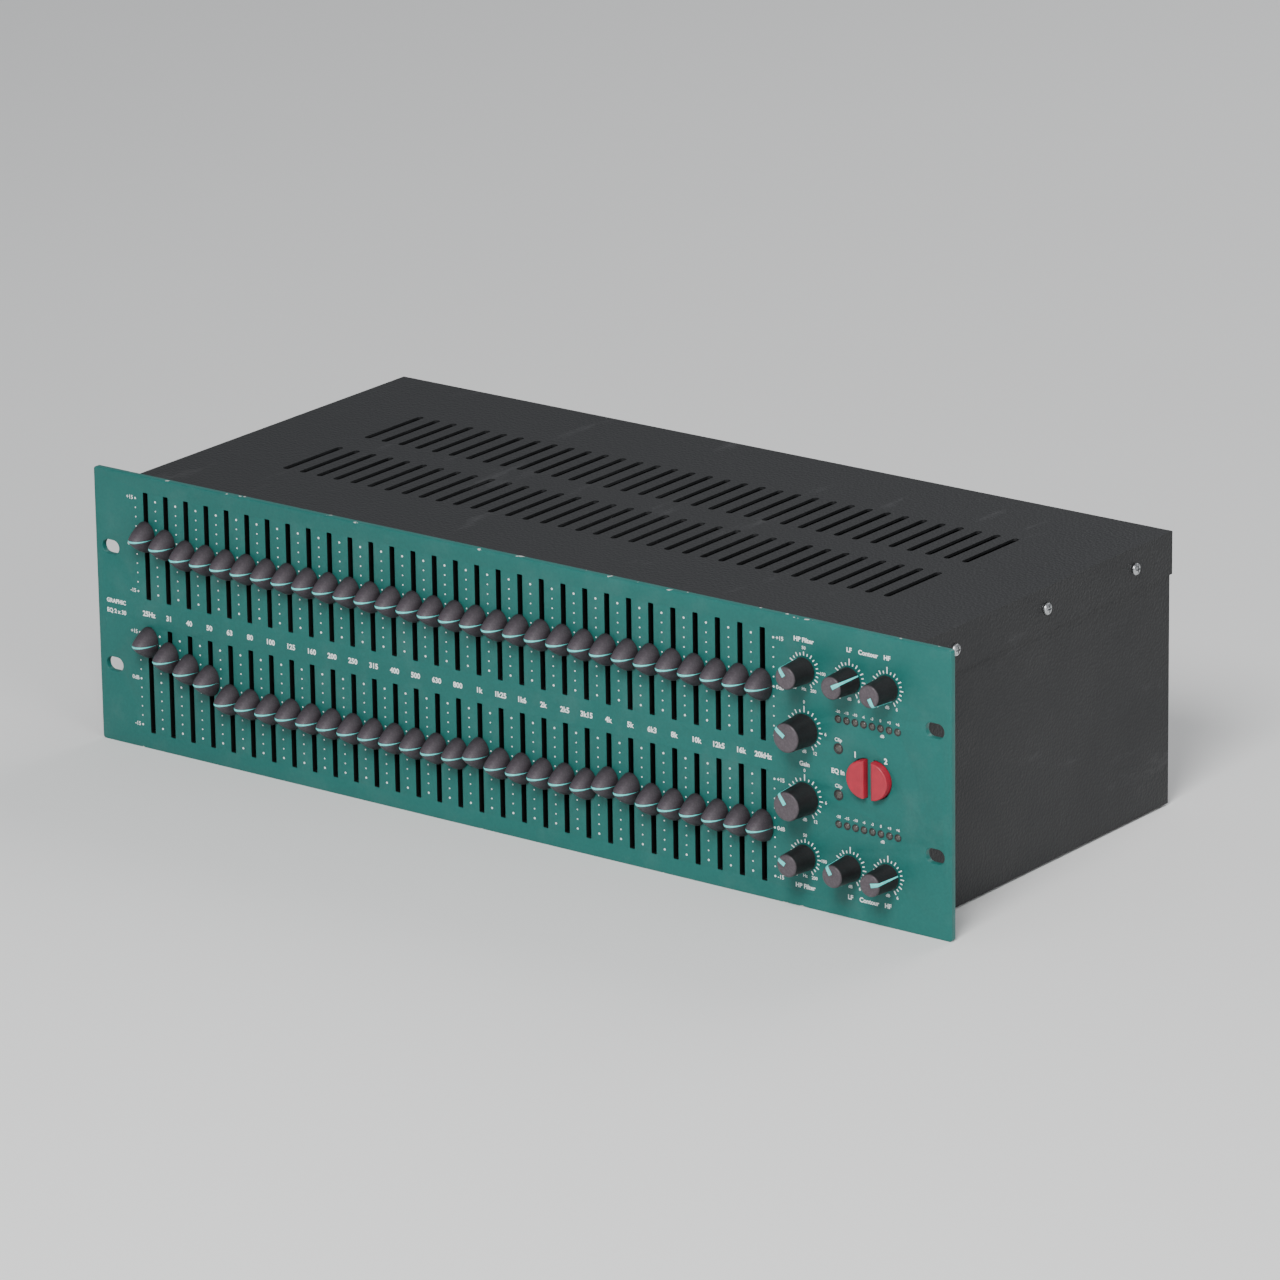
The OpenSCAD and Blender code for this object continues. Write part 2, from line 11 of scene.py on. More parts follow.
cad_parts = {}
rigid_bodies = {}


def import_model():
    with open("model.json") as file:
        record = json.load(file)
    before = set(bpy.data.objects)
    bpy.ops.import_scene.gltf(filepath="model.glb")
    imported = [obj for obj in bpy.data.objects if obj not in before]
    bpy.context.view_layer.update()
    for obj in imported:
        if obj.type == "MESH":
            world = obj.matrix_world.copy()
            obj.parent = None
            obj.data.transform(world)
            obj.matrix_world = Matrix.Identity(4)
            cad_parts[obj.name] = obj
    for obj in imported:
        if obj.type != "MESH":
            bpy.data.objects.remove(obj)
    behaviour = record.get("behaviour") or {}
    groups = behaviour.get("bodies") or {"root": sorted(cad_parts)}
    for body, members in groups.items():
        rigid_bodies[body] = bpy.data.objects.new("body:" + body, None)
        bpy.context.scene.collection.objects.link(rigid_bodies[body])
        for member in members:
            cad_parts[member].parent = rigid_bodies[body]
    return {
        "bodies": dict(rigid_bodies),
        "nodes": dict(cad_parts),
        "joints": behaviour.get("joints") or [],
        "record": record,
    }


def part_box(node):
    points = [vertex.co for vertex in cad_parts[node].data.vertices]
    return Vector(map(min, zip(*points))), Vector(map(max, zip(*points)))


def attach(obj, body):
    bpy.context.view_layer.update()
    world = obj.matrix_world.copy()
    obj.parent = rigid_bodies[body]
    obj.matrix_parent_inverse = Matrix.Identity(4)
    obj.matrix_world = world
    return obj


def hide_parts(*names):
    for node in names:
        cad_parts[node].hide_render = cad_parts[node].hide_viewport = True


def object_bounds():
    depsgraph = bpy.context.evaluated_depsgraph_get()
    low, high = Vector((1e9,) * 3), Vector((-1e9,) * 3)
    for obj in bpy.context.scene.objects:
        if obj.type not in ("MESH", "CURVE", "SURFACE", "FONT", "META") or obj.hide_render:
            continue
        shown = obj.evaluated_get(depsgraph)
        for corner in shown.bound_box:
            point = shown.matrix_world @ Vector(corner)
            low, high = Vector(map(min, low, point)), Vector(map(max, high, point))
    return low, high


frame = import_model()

cad_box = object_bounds()
MM = 0.001


# ---------------------------------------------------------------- sizes, from the frame

def mid(node):
    low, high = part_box(node)
    return (low + high) / 2


def joint_of(body):
    return next(j for j in frame["joints"] if j["child"] == body)


PANEL_LOW, PANEL_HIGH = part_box("front_panel")
FRONT = PANEL_LOW.y
PANEL_HALF_W = PANEL_HIGH.x
PANEL_HALF_H = PANEL_HIGH.z
RACK = next(m for m in frame["record"]["mounts"] if m["name"] == "rack_slots")["dims"]

BANDS = [b for b in frame["bodies"] if b.startswith("fader_")]
BAND_X = [mid(b).x for b in BANDS]
PITCH = (BAND_X[-1] - BAND_X[0]) / (len(BANDS) - 1)
ROW_Z = 32.5 * MM
TRAVEL = 45 * MM
SLOT_W = 2.8 * MM
SLOT_H = 51.7 * MM
CAP_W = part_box(BANDS[0])[1].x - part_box(BANDS[0])[0].x
CAP_H = 15 * MM
CAP_FOOT = FRONT - 0.4 * MM
CAP_REACH = CAP_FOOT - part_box(BANDS[0])[0].y
CARRIAGE_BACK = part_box(BANDS[0])[1].y

KNOBS = [b for b in frame["bodies"] if b.endswith(("knob_upper", "knob_lower"))]
SHAFT_R = 3 * MM
KNOB_FOOT = FRONT - 0.4 * MM
BUTTONS = ["eq_in_button_1", "eq_in_button_2"]
BUTTON_R = (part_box(BUTTONS[0])[1].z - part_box(BUTTONS[0])[0].z) / 2
BUTTON_X = (mid(BUTTONS[0]).x + mid(BUTTONS[1]).x) / 2
BUTTON_HALF_GAP = (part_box(BUTTONS[1])[0].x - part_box(BUTTONS[0])[1].x) / 2
BUTTON_SHIFT = (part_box(BUTTONS[1])[1].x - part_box(BUTTONS[0])[0].x) / 2 - BUTTON_R
BUTTON_FIT = 0.3 * MM
BUTTON_BACK = 1.5 * MM
PLUNGER_X = 5.8 * MM
PLUNGER_HALF = 1.5 * MM

LED_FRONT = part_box("signal_leds")[0].y
LED_COUNT = 8
LED_PITCH = 4.5 * MM
LED_X = 181.6 * MM
LED_Z = 24.1 * MM
LED_R = 1.45 * MM
CLIP_X = 181.7 * MM
CLIP_Z = 10.6 * MM
CLIP_R = 2.1 * MM
LED_FIT = 0.15 * MM


# ---------------------------------------------------------------- material helper

class Recipe:
    """A material's node tree, with short calls for the nodes that the materials below use."""

    def __init__(self, name, colour, roughness, metallic=0.0, specular=0.5, coat=0.0):
        self.material = bpy.data.materials.new(name)
        self.material.use_nodes = True
        self.tree = self.material.node_tree
        self.shader = self.tree.nodes["Principled BSDF"]
        self.shader.inputs["Base Color"].default_value = (*colour, 1)
        self.shader.inputs["Roughness"].default_value = roughness
        self.shader.inputs["Metallic"].default_value = metallic
        self.shader.inputs["Specular IOR Level"].default_value = specular
        self.shader.inputs["Coat Weight"].default_value = coat
        where = self.node("ShaderNodeTexCoord")
        self.place, self.normal = where.outputs["Object"], where.outputs["Normal"]

    def node(self, kind, **settings):
        made = self.tree.nodes.new(kind)
        for key, value in settings.items():
            setattr(made, key, value)
        return made

    def feed(self, socket, value):
        if isinstance(value, bpy.types.NodeSocket):
            self.tree.links.new(value, socket)
        else:
            socket.default_value = value

    def noise(self, scale, detail=3.0, rough=0.5, stretch=(1, 1, 1)):
        """Noise from 0 to 1, with scale in cells per metre."""
        mapping = self.node("ShaderNodeMapping")
        self.feed(mapping.inputs["Vector"], self.place)
        mapping.inputs["Scale"].default_value = stretch
        made = self.node("ShaderNodeTexNoise")
        self.feed(made.inputs["Vector"], mapping.outputs["Vector"])
        made.inputs["Scale"].default_value = scale
        made.inputs["Detail"].default_value = detail
        made.inputs["Roughness"].default_value = rough
        return made.outputs["Fac"]

    def cells(self, scale):
        made = self.node("ShaderNodeTexVoronoi")
        self.feed(made.inputs["Vector"], self.place)
        made.inputs["Scale"].default_value = scale
        return made.outputs["Distance"]

    def axis(self, name, vector=None):
        split = self.node("ShaderNodeSeparateXYZ")
        self.feed(split.inputs[0], vector or self.place)
        return split.outputs[name]

    def maths(self, operation, a, b=0.0):
        made = self.node("ShaderNodeMath", operation=operation)
        self.feed(made.inputs[0], a)
        self.feed(made.inputs[1], b)
        return made.outputs[0]

    def spread(self, value, low, high, to_low=0.0, to_high=1.0):
        """value from low..high, mapped to to_low..to_high and held there."""
        made = self.node("ShaderNodeMapRange")
        self.feed(made.inputs["Value"], value)
        for key, number in (("From Min", low), ("From Max", high), ("To Min", to_low), ("To Max", to_high)):
            made.inputs[key].default_value = number
        return made.outputs["Result"]

    def mix(self, factor, a, b):
        made = self.node("ShaderNodeMix", data_type="RGBA")
        self.feed(made.inputs["Factor"], factor)
        for socket, colour in ((made.inputs["A"], a), (made.inputs["B"], b)):
            self.feed(socket, (*colour, 1) if isinstance(colour, tuple) else colour)
        return made.outputs["Result"]

    def colour(self, socket):
        self.feed(self.shader.inputs["Base Color"], socket)
        return self

    def rough(self, socket):
        self.feed(self.shader.inputs["Roughness"], socket)
        return self

    def bump(self, height, depth):
        """Raises the surface by height (0 to 1) times depth in metres; each call adds to the last."""
        made = self.node("ShaderNodeBump")
        made.inputs["Strength"].default_value = 1.0
        made.inputs["Distance"].default_value = depth
        self.feed(made.inputs["Height"], height)
        before = self.shader.inputs["Normal"]
        if before.is_linked:
            self.feed(made.inputs["Normal"], before.links[0].from_socket)
        self.feed(before, made.outputs["Normal"])
        return self


def shade(colour, times):
    return tuple(c * times for c in colour)


# ---------------------------------------------------------------- materials

def panel_enamel():
    base = (0.0092, 0.124, 0.109)
    r = Recipe("panel_enamel", base, 0.42, specular=0.4)
    cloud = r.spread(r.noise(9, 4), 0.3, 0.7)
    fleck = r.spread(r.noise(900, 2), 0.35, 0.65)
    tint = r.mix(cloud, shade(base, 0.92), shade(base, 1.06))
    tint = r.mix(r.maths("MULTIPLY", fleck, 0.3), tint, shade(base, 1.3))
    # small chips along the upper and lower edges, where the panel meets its neighbours
    height = r.maths("ABSOLUTE", r.axis("Z"))
    edge = r.spread(height, PANEL_HALF_H - 1.3 * MM, PANEL_HALF_H - 0.2 * MM)
    chip = r.spread(r.maths("ADD", r.noise(190, 3), r.maths("MULTIPLY", edge, 0.20)), 0.86, 0.87)
    dust = r.spread(r.noise(45, 6, 0.7), 0.50, 0.75, 0.0, 0.10)
    tint = r.mix(dust, tint, (0.20, 0.30, 0.28))
    tint = r.mix(chip, tint, (0.55, 0.57, 0.54))
    # the cut walls of the slots and holes are painted black, as painted shade inside them
    shaded_wall = r.maths("LESS_THAN", r.maths("ABSOLUTE", r.axis("Y", r.normal)), 0.3)
    inside = r.maths("MULTIPLY", r.maths("LESS_THAN", height, ROW_Z + SLOT_H / 2 + 1 * MM),
                     r.maths("LESS_THAN", r.maths("ABSOLUTE", r.axis("X")), BUTTON_X + 20 * MM))
    r.colour(r.mix(r.maths("MULTIPLY", shaded_wall, inside), tint, (0.006, 0.006, 0.006)))
    r.rough(r.spread(r.noise(30, 5, 0.6), 0.3, 0.7, 0.38, 0.52))
    r.bump(r.noise(1500, 2), 0.00003)
    r.bump(r.maths("MULTIPLY", chip, -1.0), 0.00006)
    return r.material


def print_white():
    r = Recipe("print_white", (0.92, 0.95, 0.94), 0.55, specular=0.3)
    r.colour(r.mix(r.spread(r.noise(260, 4), 0.35, 0.7), (0.96, 0.98, 0.97), (0.84, 0.89, 0.87)))
    r.bump(r.noise(1800, 2), 0.00001)
    return r.material


def moulded(name, base, roughness, face, face_from, face_to):
    """A grained plastic moulding that turns to the face colour between two distances from its foot."""
    grain = 2400
    r = Recipe(name, base, roughness, specular=0.4)
    patch = r.spread(r.noise(120, 5, 0.6), 0.35, 0.7)
    speck = r.spread(r.noise(grain / 2, 3), 0.45, 0.62)
    reach = r.maths("MULTIPLY", r.axis("Y"), -1.0)
    # for the fader caps and knobs this change from base to face colour is painted light and shade
    tint = r.mix(r.spread(reach, face_from, face_to), base, face)
    tint = r.mix(r.maths("MULTIPLY", patch, 0.3), tint, shade(base, 1.5))
    lit = r.mix(r.spread(reach, face_from, face_to), shade(base, 2.2), shade(face, 1.5))
    r.colour(r.mix(r.maths("MULTIPLY", speck, 0.4), tint, lit))
    r.rough(r.spread(patch, 0, 1, roughness - 0.06, roughness + 0.08))
    r.bump(r.noise(grain, 2), 0.00005)
    return r.material


def inlay_cyan():
    base = (0.12, 0.78, 0.74)
    r = Recipe("inlay_cyan", base, 0.38)
    r.colour(r.mix(r.spread(r.noise(500, 3), 0.3, 0.7), shade(base, 0.82), shade(base, 1.12)))
    r.rough(r.spread(r.noise(700, 2), 0.3, 0.7, 0.32, 0.46))
    r.bump(r.noise(1600, 2), 0.00001)
    return r.material


def button_red():
    base = (0.42, 0.018, 0.040)
    r = Recipe("button_red", base, 0.40)
    patch = r.spread(r.noise(200, 4), 0.3, 0.7)
    r.colour(r.mix(patch, shade(base, 0.86), shade(base, 1.12)))
    r.rough(r.spread(patch, 0, 1, 0.34, 0.48))
    r.bump(r.noise(1900, 2), 0.00002)
    return r.material


def led_lens():
    r = Recipe("led_lens", (0.08, 0.08, 0.075), 0.22, specular=0.5)
    r.colour(r.mix(r.spread(r.noise(400, 2), 0.3, 0.7), (0.062, 0.076, 0.068), (0.092, 0.072, 0.064)))
    r.rough(r.spread(r.noise(900, 2), 0.3, 0.7, 0.18, 0.32))
    r.bump(r.noise(500, 1), 0.00001)
    return r.material


def chassis_powder_coat():
    base = (0.0125, 0.013, 0.014)
    r = Recipe("chassis_powder_coat", base, 0.52, specular=0.4)
    cloud = r.spread(r.noise(14, 5, 0.6), 0.3, 0.7)
    tint = r.mix(cloud, shade(base, 0.85), shade(base, 1.3))
    scuff = r.spread(r.noise(60, 6, 0.72, stretch=(1, 0.25, 1)), 0.60, 0.72, 0.0, 0.35)
    r.colour(r.mix(scuff, tint, (0.07, 0.07, 0.073)))
    r.rough(r.spread(cloud, 0, 1, 0.44, 0.60))
    r.bump(r.cells(700), 0.00018)
    r.bump(r.noise(2200, 2), 0.00004)
    return r.material


def plated_steel():
    base = (0.52, 0.53, 0.54)
    r = Recipe("plated_steel", base, 0.34, metallic=1.0)
    streak = r.spread(r.noise(300, 4, 0.6, stretch=(0.06, 1, 1)), 0.3, 0.7)
    r.colour(r.mix(streak, shade(base, 0.75), shade(base, 1.15)))
    r.rough(r.spread(streak, 0, 1, 0.26, 0.46))
    r.bump(streak, 0.00001)
    return r.material


def black_moulding():
    base = (0.016, 0.016, 0.017)
    r = Recipe("black_moulding", base, 0.42)
    patch = r.spread(r.noise(180, 4), 0.3, 0.7)
    r.colour(r.mix(patch, shade(base, 0.8), shade(base, 1.6)))
    r.rough(r.spread(patch, 0, 1, 0.34, 0.52))
    r.bump(r.noise(1700, 2), 0.00002)
    return r.material


def metal_shell(name, base, roughness):
    r = Recipe(name, base, roughness, metallic=1.0)
    haze = r.spread(r.noise(400, 4), 0.3, 0.7)
    r.colour(r.mix(haze, shade(base, 0.8), shade(base, 1.12)))
    r.rough(r.spread(haze, 0, 1, roughness - 0.06, roughness + 0.12))
    r.bump(r.noise(1200, 2), 0.00001)
    return r.material


def circuit_board():
    r = Recipe("circuit_board", (0.02, 0.14, 0.06), 0.35)
    track = r.spread(r.cells(240), 0.10, 0.12)
    r.colour(r.mix(track, (0.035, 0.22, 0.09), (0.015, 0.11, 0.045)))
    r.rough(r.spread(r.noise(200, 2), 0.3, 0.7, 0.28, 0.44))
    r.bump(track, 0.00003)
    return r.material


def wound_tape():
    base = (0.42, 0.25, 0.05)
    r = Recipe("wound_tape", base, 0.35)
    wrap = r.spread(r.noise(350, 3, 0.5, stretch=(1, 1, 0.1)), 0.35, 0.65)
    r.colour(r.mix(wrap, shade(base, 0.6), shade(base, 1.25)))
    r.rough(r.spread(wrap, 0, 1, 0.25, 0.5))
    r.bump(wrap, 0.00015)
    return r.material


def floor_paper():
    base = (0.86, 0.86, 0.85)
    r = Recipe("floor_paper", base, 0.85, specular=0.2)
    r.colour(r.mix(r.noise(3, 4), shade(base, 0.98), shade(base, 1.02)))
    r.bump(r.noise(700, 2), 0.00002)
    return r.material


MATERIALS = {
    "panel_paint": panel_enamel(),
    "legend_white": print_white(),
    # the caps darken towards the foot as painted shade where they meet the panel, and lighten towards the
    # ridge as painted light
    "cap_plastic": moulded("cap_plastic", (0.019, 0.016, 0.019), 0.50, (0.075, 0.061, 0.073), 0, 10 * MM),
    # the knobs' sides are painted dark as painted shade and their faces lighter as painted light
    "knob_plastic": moulded(
        "knob_plastic", (0.010, 0.009, 0.010), 0.44, (0.085, 0.070, 0.080), 12.8 * MM, 13.8 * MM),
    "pointer_cyan": inlay_cyan(),
    "button_red": button_red(),
    "led_lens": led_lens(),
    "chassis_paint": chassis_powder_coat(),
    "zinc_steel": plated_steel(),
    "connector_black": black_moulding(),
    "connector_pins": metal_shell("connector_pins", (0.75, 0.58, 0.28), 0.22),
    "connector_nickel": metal_shell("connector_nickel", (0.55, 0.54, 0.52), 0.26),
    "circuit_board": circuit_board(),
    "transformer_winding": wound_tape(),
    "switch_white": moulded("switch_white", (0.7, 0.7, 0.68), 0.45, (0.6, 0.6, 0.58), 0, 10 * MM),
}


# ---------------------------------------------------------------- mesh helpers

AXIS_R = 0.02 * MM  # a lathe profile that closes on the axis stops this far from it


def mesh_of(name, verts, faces, smooth_below=35.0):
    mesh = bpy.data.meshes.new(name)
    mesh.from_pydata([tuple(v) for v in verts], [], faces)
    tidy = bmesh.new()
    tidy.from_mesh(mesh)
    bmesh.ops.remove_doubles(tidy, verts=tidy.verts, dist=1e-7)
    bmesh.ops.recalc_face_normals(tidy, faces=tidy.faces)
    tidy.to_mesh(mesh)
    tidy.free()
    for polygon in mesh.polygons:
        polygon.use_smooth = True
    mesh.set_sharp_from_angle(angle=math.radians(smooth_below))
    return mesh


def piece(name, mesh, body, slot, at=(0, 0, 0), replaces=(), material=None):
    obj = bpy.data.objects.new(name, mesh)
    bpy.context.scene.collection.objects.link(obj)
    obj.location = at
    if not mesh.materials:
        mesh.materials.append(MATERIALS[material or slot])
    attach(obj, body)
    if replaces:
        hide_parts(*replaces)
    return obj


class Shape:
    """Vertices and faces gathered from several simple solids."""

    def __init__(self):
        self.verts, self.faces = [], []

    def add(self, verts, faces):
        start = len(self.verts)
        self.verts += [Vector(v) for v in verts]
        self.faces += [tuple(i + start for i in face) for face in faces]
        return self

    def rings(self, rings, closed=True, caps=(True, True)):
        """Skins a list of rings, each a list of the same number of points."""
        count = len(rings[0])
        verts = [p for ring in rings for p in ring]
        faces = []
        for k in range(len(rings) - 1):
            for i in range(count if closed else count - 1):
                j = (i + 1) % count
                faces.append((k * count + i, k * count + j, (k + 1) * count + j, (k + 1) * count + i))
        if caps[0]:
            faces.append(tuple(range(count)))
        if caps[1]:
            faces.append(tuple((len(rings) - 1) * count + i for i in range(count)))
        return self.add(verts, faces)

    def lathe(self, profile, steps=64, sign=-1):
        """Turns (radius, reach) points about the Y axis; reach runs along sign times Y."""
        rings = [
            [Vector((r * math.sin(a), sign * reach, r * math.cos(a)))
             for a in (2 * math.pi * i / steps for i in range(steps))]
            for r, reach in profile
        ]
        return self.rings(rings, caps=(profile[0][0] > 0, profile[-1][0] > 0))

    def box(self, low, high, bevel):
        """A block with its edges cut back by bevel."""
        b = bevel
        x0, y0, z0 = low
        x1, y1, z1 = high

        def ring(y, i):
            """The outline at y, set in by i, with its corners cut off."""
            return [Vector(p) for p in (
                (x0 + b + i, y, z0 + i), (x1 - b - i, y, z0 + i),
                (x1 - i, y, z0 + b + i), (x1 - i, y, z1 - b - i),
                (x1 - b - i, y, z1 - i), (x0 + b + i, y, z1 - i),
                (x0 + i, y, z1 - b - i), (x0 + i, y, z0 + b + i))]

        return self.rings([ring(y0, b), ring(y0 + b, 0), ring(y1 - b, 0), ring(y1, b)])

    def turned(self, matrix):
        self.verts = [matrix @ v for v in self.verts]
        return self

    def mesh(self, name, smooth_below=35.0):
        return mesh_of(name, self.verts, self.faces, smooth_below)


# Outlines in the XZ plane. Each takes grow, which moves every edge outwards by that much.

def rectangle(cx, cz, w, h, radius=0.0, steps=6):
    def outline(grow):
        r = max(radius + grow, 0.0) if radius else 0.0
        x, z = w / 2 + grow, h / 2 + grow
        if not radius:
            return [(cx + sx * x, cz + sz * z) for sx, sz in ((-1, -1), (1, -1), (1, 1), (-1, 1))]
        corners = ((x - r, z - r, 0), (-x + r, z - r, 90), (-x + r, -z + r, 180), (x - r, -z + r, 270))
        return [
            (cx + ox + r * math.cos(a), cz + oz + r * math.sin(a))
            for ox, oz, start in corners
            for a in (math.radians(start + 90 * i / steps) for i in range(steps + 1))
        ]
    return outline


def circle(cx, cz, radius, steps=32):
    def outline(grow):
        r = radius + grow
        return [(cx + r * math.cos(2 * math.pi * i / steps), cz + r * math.sin(2 * math.pi * i / steps))
                for i in range(steps)]
    return outline


def half_disc(cx, cz, side, radius, half_gap, shift, steps=30):
    """Half of a split disc: its round edge is moved out by shift, its straight edge is half_gap out."""
    def outline(grow):
        r, gap = radius + grow, half_gap - grow
        turn = math.acos((gap - shift) / r)
        return [(cx + side * (shift + r * math.cos(a)), cz + r * math.sin(a))
                for a in (-turn + 2 * turn * i / steps for i in range(steps + 1))]
    return outline


def plate(shape, outline, holes, front, back, round_by, steps=3):
    """A flat plate from front to back in Y, pierced by holes, with its edges rounded by round_by."""
    profile = []
    for i in range(steps + 1):
        a = math.pi / 2 * i / steps
        profile.append((-round_by * (1 - math.sin(a)), front + round_by * (1 - math.cos(a))))
    profile += [(g, back - (y - front)) for g, y in reversed(profile)]
    for loop, sign in [(outline, 1)] + [(hole, -1) for hole in holes]:
        rings = [[Vector((x, y, z)) for x, z in loop(sign * grow)] for grow, y in profile]
        shape.rings(rings, caps=(False, False))
    for grow, y in (profile[0], profile[-1]):
        loops = [[Vector((x, z, 0)) for x, z in loop(sign * grow)]
                 for loop, sign in [(outline, 1)] + [(hole, -1) for hole in holes]]
        triangles = tessellate_polygon(loops)
        flat = [p for loop in loops for p in loop]
        shape.add([(p.x, y, p.y) for p in flat], triangles)
    return shape


# ---------------------------------------------------------------- front panel

def make_front_panel():
    holes = []
    for sx in (-1, 1):
        for sz in (-1, 1):
            holes.append(rectangle(
                sx * RACK["spacing_x_mm"] / 2 * MM, sz * RACK["spacing_y_mm"] / 2 * MM,
                RACK["slot_length_mm"] * MM, 2 * RACK["hole_r_mm"] * MM, RACK["hole_r_mm"] * MM - 1e-6))
    for x in BAND_X:
        for side in (-1, 1):
            holes.append(rectangle(x, side * ROW_Z, SLOT_W, SLOT_H, 0.35 * MM, 3))
    for knob in KNOBS:
        x, _, z = joint_of(knob)["pos_m"]
        holes.append(circle(x, z, SHAFT_R + 0.5 * MM))
    for side in (-1, 1):
        holes.append(half_disc(
            BUTTON_X, 0, side, BUTTON_R + BUTTON_FIT, BUTTON_HALF_GAP - BUTTON_FIT, BUTTON_SHIFT))
        holes += [circle(LED_X + i * LED_PITCH, side * LED_Z, LED_R + LED_FIT, 24) for i in range(LED_COUNT)]
        holes.append(circle(CLIP_X, side * CLIP_Z, CLIP_R + LED_FIT))
    outline = rectangle(0, 0, 2 * PANEL_HALF_W, 2 * PANEL_HALF_H, 1.5 * MM)
    shape = plate(Shape(), outline, holes, FRONT, 0.0, 0.3 * MM)
    piece("panel_plate", shape.mesh("panel_plate"), "root", "panel_paint", replaces=["front_panel"])


# ---------------------------------------------------------------- printed scales and words

PRINT_Y = FRONT - 0.03 * MM
PRINT_T = 0.035 * MM
PRINT_FACES = (PRINT_Y - PRINT_T / 2, PRINT_Y + PRINT_T / 2)
REAR_PRINT_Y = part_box("rear_panel")[1].y + 0.03 * MM
CAPITALS = 0.72  # height of a capital letter against the font's size
BOLD = 0.05


def words(text, x, z, height, bold=0.02, align="CENTER", rear=False):
    """Flat letters on the front panel, or on the rear panel to be read from behind, as vertices and faces."""
    curve = bpy.data.curves.new("words", "FONT")
    curve.body = text
    curve.size = height / CAPITALS
    curve.offset = bold * height
    curve.align_x = align
    curve.align_y = "CENTER"
    curve.resolution_u = 3
    curve.extrude = PRINT_T / 2
    holder = bpy.data.objects.new("words", curve)
    bpy.context.scene.collection.objects.link(holder)
    bpy.context.view_layer.update()
    mesh = bpy.data.meshes.new_from_object(holder.evaluated_get(bpy.context.evaluated_depsgraph_get()))
    if rear:
        verts = [(x - v.co.x, REAR_PRINT_Y + v.co.z, z + v.co.y) for v in mesh.vertices]
    else:
        verts = [(x + v.co.x, PRINT_Y - v.co.z, z + v.co.y) for v in mesh.vertices]
    faces = [tuple(p.vertices) for p in mesh.polygons]
    bpy.data.objects.remove(holder)
    bpy.data.meshes.remove(mesh)
    bpy.data.curves.remove(curve)
    return verts, faces


def dot(shape, x, z, radius):
    ring = circle(x, z, radius, 12)(0)
    shape.rings([[Vector((px, y, pz)) for px, pz in ring] for y in PRINT_FACES])


def tick(shape, x, z, angle, inner, outer, width):
    """A short bar that points away from x, z; angle is clockwise from the top."""
    along = Vector((math.sin(angle), math.cos(angle)))
    side = Vector((along.y, -along.x)) * width / 2
    corners = [along * inner - side, along * inner + side, along * outer + side, along * outer - side]
    shape.rings([[Vector((x + c.x, y, z + c.y)) for c in corners] for y in PRINT_FACES])


def make_fader_scales():
    shape = Shape()
    steps = 10
    ends = (BAND_X[0] - 6 * MM, BAND_X[-1] + 6 * MM)
    columns = [ends[0]] + [x + PITCH / 2 for x in BAND_X[:-1]] + [ends[1]]
    for side in (-1, 1):
        for x in columns:
            for i in range(steps + 1):
                big = i % 5 == 0
                z = side * ROW_Z + TRAVEL * (i / steps - 0.5)
                dot(shape, x, z, (0.52 if big else 0.36) * MM)
        for text, level in (("+15", 0.5), ("0dB", 0.0), ("-15", -0.5)):
            z = side * ROW_Z + TRAVEL * level
            shape.add(*words(text, ends[0] - 1.3 * MM, z, 1.9 * MM, align="RIGHT"))
            shape.add(*words(text, ends[1] + 1.3 * MM, z, 1.9 * MM, align="LEFT"))
    piece("fader_scales", shape.mesh("fader_scales"), "root", "legend_white")


def band_label(band):
    """fader_1k25hz is printed as 1k25; the first and last bands keep their unit."""
    text = band.removeprefix("fader_").removesuffix("hz")
    first, last = band == BANDS[0], band == BANDS[-1]
    return text + "Hz" if first or last else text


def make_band_numbers():
    shape = Shape()
    for band, x in zip(BANDS, BAND_X):
        shape.add(*words(band_label(band), x, -0.4 * MM, 2.5 * MM, bold=BOLD))
    piece("band_numbers", shape.mesh("band_numbers"), "root", "legend_white")


def make_knob_scales():
    shape = Shape()
    sweep = math.radians(300)
    ticks = 21
    for knob in KNOBS:
        x, _, z = joint_of(knob)["pos_m"]
        gain = knob.startswith("gain")
        inner = (8.0 if gain else 6.7) * MM
        for i in range(ticks):
            angle = -sweep / 2 + sweep * i / (ticks - 1)
            top = i == (ticks - 1) // 2 and not knob.startswith("highpass")
            length = 3.0 if top else (1.8 if i % 2 == 0 else 1.2)
            tick(shape, x, z, angle, inner, inner + length * MM, 0.52 * MM)
        label_r = inner + 3.4 * MM
        if knob.startswith("highpass"):
            marks = [(0, "50"), (90, "100"), (150, "200"), (-150, "20")]
            unit = "Hz"
        elif gain:
            marks = [(0, "0"), (90, "6"), (150, "12"), (-90, "6"), (-150, "12")]
            unit = "dB"
        else:
            marks = [(150, "6"), (-150, "6")]
            unit = "dB"
        for degrees, text in marks:
            a = math.radians(degrees)
            reach = label_r + (1.3 * MM if degrees == 0 and gain else 0)
            shape.add(*words(text, x + reach * math.sin(a), z + reach * math.cos(a), 1.5 * MM))
        shape.add(*words(unit, x, z - inner - 1.9 * MM, 1.5 * MM))
    piece("knob_scales", shape.mesh("knob_scales"), "root", "legend_white")


WORD_H = 2.1 * MM
KNOB_WORD_Z = 56.6 * MM
LEVELS = ("-20", "-15", "-10", "-6", "-3", "0", "+3", "+6")


